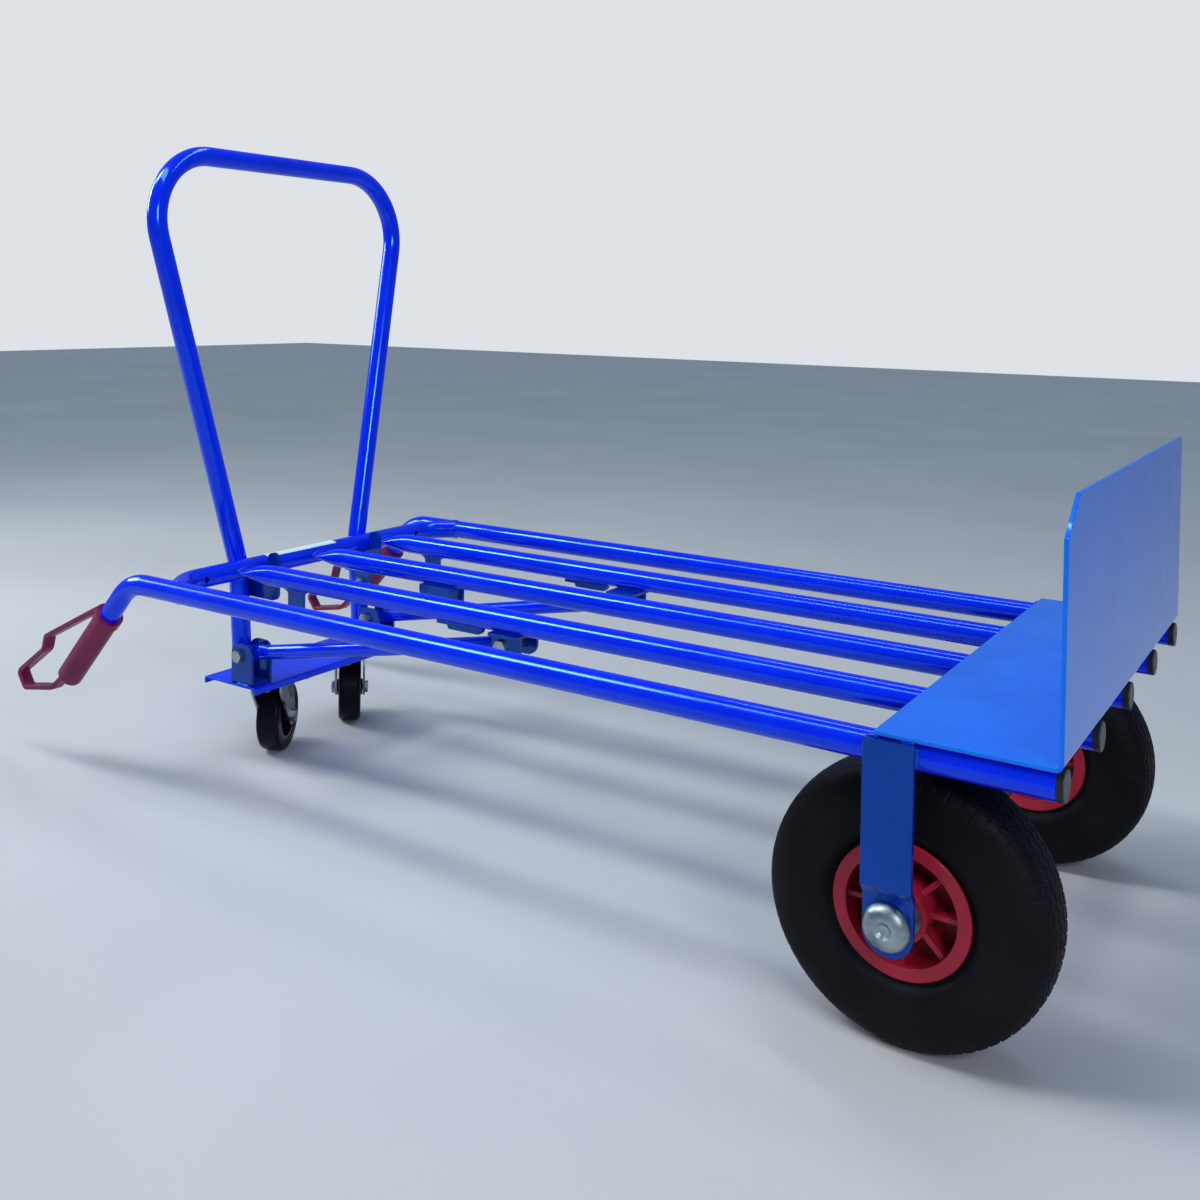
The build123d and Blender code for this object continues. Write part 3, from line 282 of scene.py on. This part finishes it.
def zinc(name, dark, light, rough):
    """Zinc plate: cloudy spangle, fine scratches, dull patches."""
    made = Surface(name, Metallic=1.0)
    made.colour(made.ramp(made.noise(45.0, 6.0), (0.32, dark), (0.68, light)))
    made.roughness(made.spread(made.noise(90.0, 5.0), rough - 0.1, rough + 0.14))
    made.bump(made.noise(300.0, 4.0, (1, 1, 5)), 0.25, 0.0003)
    return made.mat


ZINC = zinc("zinc", (0.22, 0.25, 0.28), (0.52, 0.56, 0.60), 0.36)
CAP_ZINC = zinc("cap_zinc", (0.17, 0.21, 0.23), (0.44, 0.51, 0.55), 0.36)
STEEL = zinc("axle_steel", (0.28, 0.28, 0.29), (0.45, 0.45, 0.46), 0.33)


def satin(name, rough):
    """The satin skin of moulded plastic, its colour still to be set."""
    made = Surface(name, Specular_IOR_Level=0.3, Coat_Weight=0.06, Coat_Roughness=0.2)
    made.roughness(made.spread(made.noise(70.0, 4.0), rough - 0.08, rough + 0.1))
    made.bump(made.noise(420.0, 3.0), 0.14, 0.0004)
    return made


def flow_marks(made, deep, bright):
    """Faint flow marks between two colours."""
    return made.ramp(made.noise(18.0, 4.0), (0.3, deep), (0.7, bright))


def moulded(name, deep, bright, rough):
    """Moulded plastic in one colour."""
    made = satin(name, rough)
    made.colour(flow_marks(made, deep, bright))
    return made.mat


def plug_plastic():
    """Black plastic whose front face, at the toe plate, is scuffed grey."""
    made = satin("plug_black", 0.5)
    place = made.node("ShaderNodeSeparateXYZ")
    made.link(made.coord.outputs["Object"], place.inputs["Vector"])
    face = plate_high.x
    at_front = made.spread(place.outputs["X"], 0.0, 1.0, face - 1.2 * MM, face - 0.4 * MM)
    grey = made.ramp(made.noise(160.0, 4.0), (0.35, (0.03, 0.033, 0.04)), (0.7, (0.12, 0.125, 0.14)))
    black = flow_marks(made, (0.006, 0.0062, 0.008), (0.014, 0.0145, 0.018))
    made.colour(made.mix(at_front, black, grey))
    return made.mat


RED_RIM = moulded("red_rim", (0.30, 0.009, 0.026), (0.42, 0.014, 0.040), 0.34)
RED_GRIP = moulded("red_grip", (0.12, 0.003, 0.034), (0.22, 0.006, 0.066), 0.40)
DARK_HUB = moulded("castor_hub", (0.003, 0.003, 0.006), (0.008, 0.008, 0.014), 0.2)
PLUG = plug_plastic()
LABEL = moulded("label_blank", (0.62, 0.80, 0.82), (0.70, 0.87, 0.88), 0.4)


def rubber(name, deep, bright, rough):
    """Rubber with a dusty bloom and fine grain."""
    made = Surface(name, Specular_IOR_Level=0.12)
    made.colour(made.ramp(made.noise(9.0, 5.0), (0.35, deep), (0.75, bright)))
    made.roughness(made.spread(made.noise(35.0, 4.0), rough - 0.08, rough + 0.1))
    made.bump(made.noise(500.0, 3.0), 0.2, 0.0004)
    return made.mat


TYRE = rubber("tyre_rubber", (0.0022, 0.0022, 0.0036), (0.0060, 0.0064, 0.0095), 0.55)
CASTOR_TYRE = rubber("castor_rubber", (0.0015, 0.0015, 0.004), (0.004, 0.004, 0.009), 0.34)

PALE = Surface("floor_pale", Roughness=0.7)
PALE.colour(PALE.ramp(PALE.noise(1.5, 2.0), (0.3, (0.52, 0.51, 0.50)), (0.7, (0.57, 0.56, 0.55))))
floor.data.materials.append(PALE.mat)


def paint(material, *names):
    """Give CAD nodes one material."""
    for name in names:
        slots = nodes[name].data.materials
        slots.clear()
        slots.append(material)


def both(stem):
    return [f"{stem}_{side}" for side, sign in SIDES]


paint(BLUE, *both("rail"), *both("deck_tube"), "deck_tube_middle", "crossbar", "hoop", *both("strut"))
paint(BLUE, "castor_channel")
paint(BLUE_SHEET, "toe_plate")
# the hung brackets, tabs and plates take the darker blue, which is painted shade
paint(BLUE_PAINTED_SHADE, *both("wheel_bracket"), *both("pivot_bracket"), *both("stop_plate"))
paint(BLUE_PAINTED_SHADE, *both("support_tab"), *both("foot_bracket"), *both("cradle"), "catch_bracket")
paint(CAP_ZINC, *both("hub_cap"))
paint(ZINC, "pivot_bolts", "pivot_bushes", "foot_bolts", "foot_bushes", "lug_bolt", "castor_mount_bolts")
paint(ZINC, *both("castor_plate"), *both("kingpin"), *both("castor_fork"), *both("castor_axle"))
paint(ZINC, "axle_spacers")
paint(STEEL, "axle", *both("wheel_bearings"))
paint(RED_RIM, *both("rim"))
paint(RED_GRIP, *both("grip"))
paint(TYRE, *both("tyre"), *both("inner_tube"))
paint(CASTOR_TYRE, *both("castor_tyre"))
paint(DARK_HUB, *both("castor_hub"))
paint(PLUG, "end_plugs")
paint(LABEL, "label_strip")


def ease_edges(name, width, segments):
    """Round a CAD node's sharp edges so that they catch the light."""
    weld = nodes[name].modifiers.new("weld", "WELD")
    weld.merge_threshold = 0.01 * MM
    bevel = nodes[name].modifiers.new("bevel", "BEVEL")
    bevel.width = width
    bevel.segments = segments
    bevel.limit_method = "ANGLE"
    bevel.angle_limit = math.radians(42)
    nodes[name].modifiers.new("normals", "WEIGHTED_NORMAL").keep_sharp = False


SHEETS = ["toe_plate", "catch_bracket", "castor_channel"]
for stem in ("wheel_bracket", "pivot_bracket", "stop_plate", "support_tab", "foot_bracket", "cradle"):
    SHEETS += both(stem)
for name in SHEETS:
    ease_edges(name, 0.7 * MM, 2)
for name in both("rim"):
    ease_edges(name, 1.2 * MM, 3)


# ---- mesh helpers ----------------------------------------------------------------------
def smooth_mesh(name, points, faces, material):
    """A smooth-shaded object of one material."""
    mesh = bpy.data.meshes.new(name)
    mesh.from_pydata([tuple(p) for p in points], [], faces)
    mesh.polygons.foreach_set("use_smooth", [True] * len(mesh.polygons))
    mesh.materials.append(material)
    mesh.update()
    return new_object(name, mesh)


def from_rings(name, rings, material):
    """A smooth skin over a closed round of rings, each an open row of points."""
    count, width = len(rings), len(rings[0])
    faces = []
    for ring in range(count):
        here, there = ring * width, (ring + 1) % count * width
        for k in range(width - 1):
            faces.append((here + k, here + k + 1, there + k + 1, there + k))
    return smooth_mesh(name, [p for ring in rings for p in ring], faces, material)


def face_outward(piece):
    """Point a closed piece's normals outwards."""
    shape = bmesh.new()
    shape.from_mesh(piece.data)
    bmesh.ops.recalc_face_normals(shape, faces=shape.faces)
    shape.to_mesh(piece.data)
    shape.free()


def smooth_profile(corners, radius, steps=6):
    """Round the inner corners of an open polyline of 2-D points."""
    made = [Vector(corners[0])]
    for before, corner, after in zip(corners, corners[1:], corners[2:]):
        before, corner, after = Vector(before), Vector(corner), Vector(after)
        cut = min(radius, (corner - before).length * 0.49, (after - corner).length * 0.49)
        start = corner + (before - corner).normalized() * cut
        end = corner + (after - corner).normalized() * cut
        for step in range(steps + 1):
            t = step / steps
            made.append((1 - t) ** 2 * start + 2 * t * (1 - t) * corner + t ** 2 * end)
    made.append(Vector(corners[-1]))
    return made


# ---- tyres: moulded tread over the CAD tyre's outline ----------------------------------
TREAD_PITCHES = 64              # repeats of the tread pattern round the tyre
STEPS_PER_PITCH = 12
TREAD_HALF = 30 * MM            # half width of the running surface
TREAD_LINES = (-24 * MM, -12 * MM, 0, 12 * MM, 24 * MM)
ZIGZAG = 5 * MM
GROOVE_DEPTH = 1.6 * MM
GROOVE_HALF = 1.0 * MM
GROOVE_SHOULDER = 1.6           # where a groove starts, in its half widths
GROOVE_WALL = 0.8               # how far across its wall then slopes, likewise
SIPE_HALF = 0.7 * MM
SIPE_DEPTH = 0.7                # as a share of the groove depth
SIPE_LENGTH = 24 * MM           # width of tread over which a sipe slants one pitch
SLIT_HALF = 0.6 * MM
SLIT_DEPTH = 0.55
SLIT_MARGIN = 1.5 * MM          # kept clear at the tyre's widest
SLIT_REACH = (39.5 * MM, 37 * MM)   # alternate shoulder slits end this far from the middle
CROWN_R = 130 * MM
SHOULDER_R = 120 * MM
BEAD_R = 54 * MM
TREAD_START = 26 * MM           # how far inside the tyre's radius its profile turns fine
FINE_STEP = 1.1 * MM
SIDE_INSET = 0.6 * MM
SIDE_RINGS = ((92 * MM, 1.1 * MM, 0.5 * MM), (76 * MM, 1.0 * MM, 0.4 * MM))  # radius, width, height


def groove(distance, half):
    """How deep a groove is at a distance from its line, 0 to 1."""
    inside = half * GROOVE_SHOULDER - abs(distance)
    return max(0.0, min(1.0, inside / (half * GROOVE_WALL)))


def round_distance(pitch, radius):
    """Distance round the tyre from the middle of the nearest pitch."""
    return (pitch % 1.0 - 0.5) * 2 * math.pi * radius / TREAD_PITCHES


def tread_depth(turn, across, tyre_half):
    """Depth of the tread pattern at a place round and across the tyre."""
    pitch = turn * TREAD_PITCHES
    depth = 0.0
    if abs(across) < TREAD_HALF:
        swing = (abs((pitch % 1.0) * 2 - 1) - 0.5) * ZIGZAG
        for line in TREAD_LINES:
            depth = max(depth, groove(across - line - swing, GROOVE_HALF))
        sipe = round_distance(pitch + across / SIPE_LENGTH, CROWN_R)
        depth = max(depth, SIPE_DEPTH * groove(sipe, SIPE_HALF))
    elif abs(across) < min(tyre_half - SLIT_MARGIN, SLIT_REACH[int(pitch) % 2]):
        depth = SLIT_DEPTH * groove(round_distance(pitch, SHOULDER_R), SLIT_HALF)
    return depth * GROOVE_DEPTH


def tyre_profile(radius, half):
    """The tyre's outline from bead to bead as (radius, across), fine over the tread."""
    bead = [(BEAD_R, 32.4 * MM), (64 * MM, 32.9 * MM)]
    sidewall = [(71 * MM, half - 0.6 * MM), (84 * MM, half), (radius - 24 * MM, half - 0.4 * MM)]
    crown = [(radius - 5 * MM, half - 9 * MM), (radius - 0.8 * MM, 16 * MM), (radius, 0)]
    outline = smooth_profile(bead + sidewall + crown, 14 * MM, 7)
    fine = []
    for a, b in zip(outline, outline[1:]):
        parts = max(1, int((b - a).length / FINE_STEP)) if a.x > radius - TREAD_START else 1
        fine += [a + (b - a) * (k / parts) for k in range(parts)]
    fine.append(outline[-1])
    return fine + [Vector((p.x, -p.y)) for p in reversed(fine[:-1])]


def press_inwards(profile, index, depth):
    """A profile point pushed into the rubber by a depth."""
    r, across = profile[index]
    before = profile[max(index - 1, 0)]
    after = profile[min(index + 1, len(profile) - 1)]
    along = (after - before).normalized()
    return r - abs(along.y) * depth, across - math.copysign(abs(along.x), across) * depth


def build_tyre(side):
    """Replace a CAD tyre with one that has its tread and sidewall rings."""
    low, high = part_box(f"tyre_{side}")
    middle = (low + high) / 2
    radius = (high.z - low.z) / 2
    half = (high.y - low.y) / 2
    profile = tyre_profile(radius, half)
    rings = []
    total = TREAD_PITCHES * STEPS_PER_PITCH
    for step in range(total):
        turn = step / total
        angle = turn * 2 * math.pi
        ring = []
        for index, (r, across) in enumerate(profile):
            if r > radius - TREAD_START - 1 * MM:
                r, across = press_inwards(profile, index, tread_depth(turn, across, half))
            if abs(across) > TREAD_HALF:
                raised = sum(
                    height * math.exp(-((r - at) / width) ** 2) for at, width, height in SIDE_RINGS
                )
                across -= math.copysign(SIDE_INSET - raised, across)
            ring.append((
                middle.x + r * math.cos(angle), middle.y + across, middle.z + r * math.sin(angle)
            ))
        rings.append(ring)
    tyre = from_rings(f"tyre_tread_{side}", rings, TYRE)
    face_outward(tyre)
    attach(tyre, f"wheel_{side}")
    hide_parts(f"tyre_{side}")


for side, sign in SIDES:
    build_tyre(side)

# ---- weld beads ------------------------------------------------------------------------
class Beads:
    """Many rippled weld beads gathered into one mesh."""

    SIDES_ROUND = 8
    RIPPLE = 1.3 * MM           # length of one ripple
    RIPPLE_DEPTH = 0.14         # as a share of the bead's radius
    LUMPS = 0.22                # unevenness, likewise
    LUMP_SCALE = 260
    TAPER = 1.6                 # length of an open bead's ends, in radii
    THINNEST = 0.04             # square of the end's size against the full size

    def __init__(self):
        self.points = []
        self.faces = []

    def lay(self, path, radius=2.0 * MM, closed=False):
        """Lay a bead along a path of points; its ripples are like a stack of coins."""
        path = [Vector(p) for p in path]
        if closed:
            path.append(path[0])
        dense = [path[0]]
        for a, b in zip(path, path[1:]):
            parts = max(1, int((b - a).length / (self.RIPPLE / 3)))
            dense += [a + (b - a) * (k / parts) for k in range(1, parts + 1)]
        travelled = 0.0
        total = sum((b - a).length for a, b in zip(dense, dense[1:]))
        start = len(self.points)
        for index, point in enumerate(dense):
            after = dense[min(index + 1, len(dense) - 1)]
            before = dense[max(index - 1, 0)]
            if index:
                travelled += (point - dense[index - 1]).length
            along = (after - before).normalized()
            side = along.orthogonal().normalized() if index == 0 else (
                side - along * side.dot(along)).normalized()
            other = along.cross(side)
            ends = min(travelled, total - travelled) / (self.TAPER * radius)
            taper = 1.0 if closed else math.sqrt(max(self.THINNEST, min(1.0, ends)))
            ripple = abs(math.cos(math.pi * travelled / self.RIPPLE))
            size = radius * taper
            size *= 1 - self.RIPPLE_DEPTH * (1 - ripple)
            size *= 1 + self.LUMPS * noise.noise(point * self.LUMP_SCALE)
            for k in range(self.SIDES_ROUND):
                angle = 2 * math.pi * k / self.SIDES_ROUND
                self.points.append(point + size * (math.cos(angle) * side + math.sin(angle) * other))
        rings = len(dense)
        for ring in range(rings - 1):
            for k in range(self.SIDES_ROUND):
                a = start + ring * self.SIDES_ROUND + k
                b = start + ring * self.SIDES_ROUND + (k + 1) % self.SIDES_ROUND
                self.faces.append((a, b, b + self.SIDES_ROUND, a + self.SIDES_ROUND))
        last = start + (rings - 1) * self.SIDES_ROUND
        self.faces.append(tuple(range(start + self.SIDES_ROUND - 1, start - 1, -1)))
        self.faces.append(tuple(range(last, last + self.SIDES_ROUND)))

    def make(self, name, body):
        made = smooth_mesh(name, self.points, self.faces, BLUE_WELD)
        face_outward(made)
        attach(made, body)
        return made


def turns(count):
    """Evenly spaced angles once round a circle."""
    return [2 * math.pi * k / count for k in range(count)]


def seam(beads, span, y, z, radius):
    """Lay a straight bead along x at a height and a place across."""
    beads.lay([(span[0], y, z), (span[1], y, z)], radius)


def seam_both_faces(beads, node, y, half_gap, z, inset, radius):
    """Lay a bead along both faces of a hanger, clear of its ends."""
    low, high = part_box(node)
    for edge in (-half_gap, half_gap):
        seam(beads, (low.x + inset, high.x - inset), y + edge, z, radius)


deck_beads = Beads()
RAIL_Y = centre("rail_left").y
TUBE_YS = [centre(f"deck_tube_{name}").y for name in ("left", "middle", "right")]
TUBE_TOP, TUBE_BOTTOM = DECK_Z + TUBE_R, DECK_Z - TUBE_R

# round the deck tubes' flattened ends, on the crossbar
TONGUE_Y, TONGUE_Z = 20 * MM, 5 * MM    # half width and half height of such an end
for y in TUBE_YS:
    loop = []
    for t in turns(28):
        z = TONGUE_Z * math.sin(t)
        x = BAR_X + math.sqrt(TUBE_R ** 2 - z ** 2) + 0.3 * MM
        loop.append((x, y + TONGUE_Y * math.cos(t), DECK_Z + z))
    deck_beads.lay(loop, 2.3 * MM, closed=True)

# round the crossbar's ends, on the rails
BAR_BEND_Y = 253 * MM                   # where an end starts to turn forward
BAR_TURN = math.radians(42)
bar_end_x = BAR_X + (RAIL_Y - BAR_BEND_Y) * math.tan(BAR_TURN)
for sign in (1, -1):
    along = Vector((math.sin(BAR_TURN), sign * math.cos(BAR_TURN), 0))
    across = Vector((math.cos(BAR_TURN), -sign * math.sin(BAR_TURN), 0))
    end = Vector((bar_end_x, sign * RAIL_Y, DECK_Z))
    loop = []
    for t in turns(24):
        off = across * TUBE_R * math.cos(t) + Vector((0, 0, TUBE_R * math.sin(t)))
        reach = sign * (RAIL_Y - TUBE_R * abs(math.cos(t))) - end.y - off.y
        loop.append(end + off + along * (reach / along.y))
    deck_beads.lay(loop, 1.9 * MM, closed=True)

for side, sign in SIDES:
    # a wheel bracket on its rail: down both ends, then along the top near both ends
    low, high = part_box(f"wheel_bracket_{side}")
    rail_face = sign * (RAIL_Y + TUBE_R)
    for x in (low.x - 0.4 * MM, high.x + 0.4 * MM):
        heights = (10 * MM, 5 * MM, 0, -5 * MM, -9 * MM)
        down = [(x, rail_face - sign * abs(z) * 0.06, DECK_Z + z) for z in heights]
        deck_beads.lay(down, 2.2 * MM)
    outer, inner = high.z + 0.6 * MM, high.z + 0.8 * MM
    for path in (
        [(low.x + 2 * MM, rail_face, outer), (low.x + 12 * MM, rail_face, inner)],
        [(high.x - 14 * MM, rail_face, inner), (high.x - 2 * MM, rail_face, outer)],
    ):
        deck_beads.lay(path, 1.9 * MM)
    # the toe plate's edge on the same rail, in two runs measured from the plate's front
    for start, stop in ((-150 * MM, -128 * MM), (-62 * MM, -4 * MM)):
        span = (plate_high.x + start, plate_high.x + stop)
        seam(deck_beads, span, sign * (RAIL_Y + 7.5 * MM), TUBE_TOP - 1.4 * MM, 1.6 * MM)

# over each of the five tubes where the toe plate starts
PLATE_BEAD_HALF = 9 * MM
for y in (RAIL_Y, *TUBE_YS, -RAIL_Y):
    ends_x, ends_z = plate_low.x - 0.2 * MM, TUBE_TOP - 1.5 * MM
    over = [
        (ends_x, y - PLATE_BEAD_HALF, ends_z),
        (plate_low.x - 0.4 * MM, y, TUBE_TOP + 0.6 * MM),
        (ends_x, y + PLATE_BEAD_HALF, ends_z),
    ]
    deck_beads.lay(over, 1.7 * MM)

# hangers under the outer deck tubes, and the catch's bracket under the middle one
for stem in ("stop_plate", "support_tab"):
    for side, sign in SIDES:
        y, z = sign * TUBE_YS[0], TUBE_BOTTOM + 0.1 * MM
        seam_both_faces(deck_beads, f"{stem}_{side}", y, 3.4 * MM, z, 3 * MM, 1.6 * MM)
for side, sign in SIDES:
    y, z = sign * TUBE_YS[0], TUBE_BOTTOM + 0.4 * MM
    seam_both_faces(deck_beads, f"pivot_bracket_{side}", y, 5 * MM, z, 2 * MM, 1.8 * MM)
seam_both_faces(deck_beads, "catch_bracket", 0, 7.6 * MM, DECK_Z - 11.8 * MM, 2 * MM, 1.6 * MM)
deck_beads.make("weld_beads_deck", "frame")

leg_beads = Beads()
channel_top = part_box("castor_channel")[1].z
LEG_Y = 127 * MM
LEG_X = BAR_X - 30 * MM                 # a leg's axis where it meets the deck's plane
LEG_LEAN = math.radians(4.45)


def leg_x(z):
    """Where a leg's axis is at a height: it leans towards the toe plate as it goes down."""
    return LEG_X + (DECK_Z - z) * math.tan(LEG_LEAN)


for side, sign in SIDES:
    # round the leg's foot, on the castor channel
    loop = []
    for t in turns(28):
        x = leg_x(channel_top) + TUBE_R * math.cos(t)
        loop.append((x, sign * LEG_Y + TUBE_R * math.sin(t), channel_top + 0.6 * MM))
    leg_beads.lay(loop, 2.2 * MM, closed=True)
    # both faces of the strut's bracket
    low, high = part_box(f"foot_bracket_{side}")
    for y in (low.y - 0.3 * MM, high.y + 0.3 * MM):
        seam(leg_beads, (low.x + 12 * MM, high.x - 2 * MM), y, channel_top + 0.4 * MM, 2.0 * MM)
    # down the leg's inner face, on both sides of its cradle's stem
    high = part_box(f"cradle_{side}")[1]
    plate_y = sign * (LEG_Y - TUBE_R)
    heights = (high.z - 65 * MM, high.z - 45 * MM, high.z - 24 * MM)
    for step in (-5 * MM, 5 * MM):
        stem = [(leg_x(z) + step, plate_y + sign * 0.5 * MM, z) for z in heights]
        leg_beads.lay(stem, 1.8 * MM)
leg_beads.make("weld_beads_leg", "leg_frame")

# ---- finish ----------------------------------------------------------------------------
low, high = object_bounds()
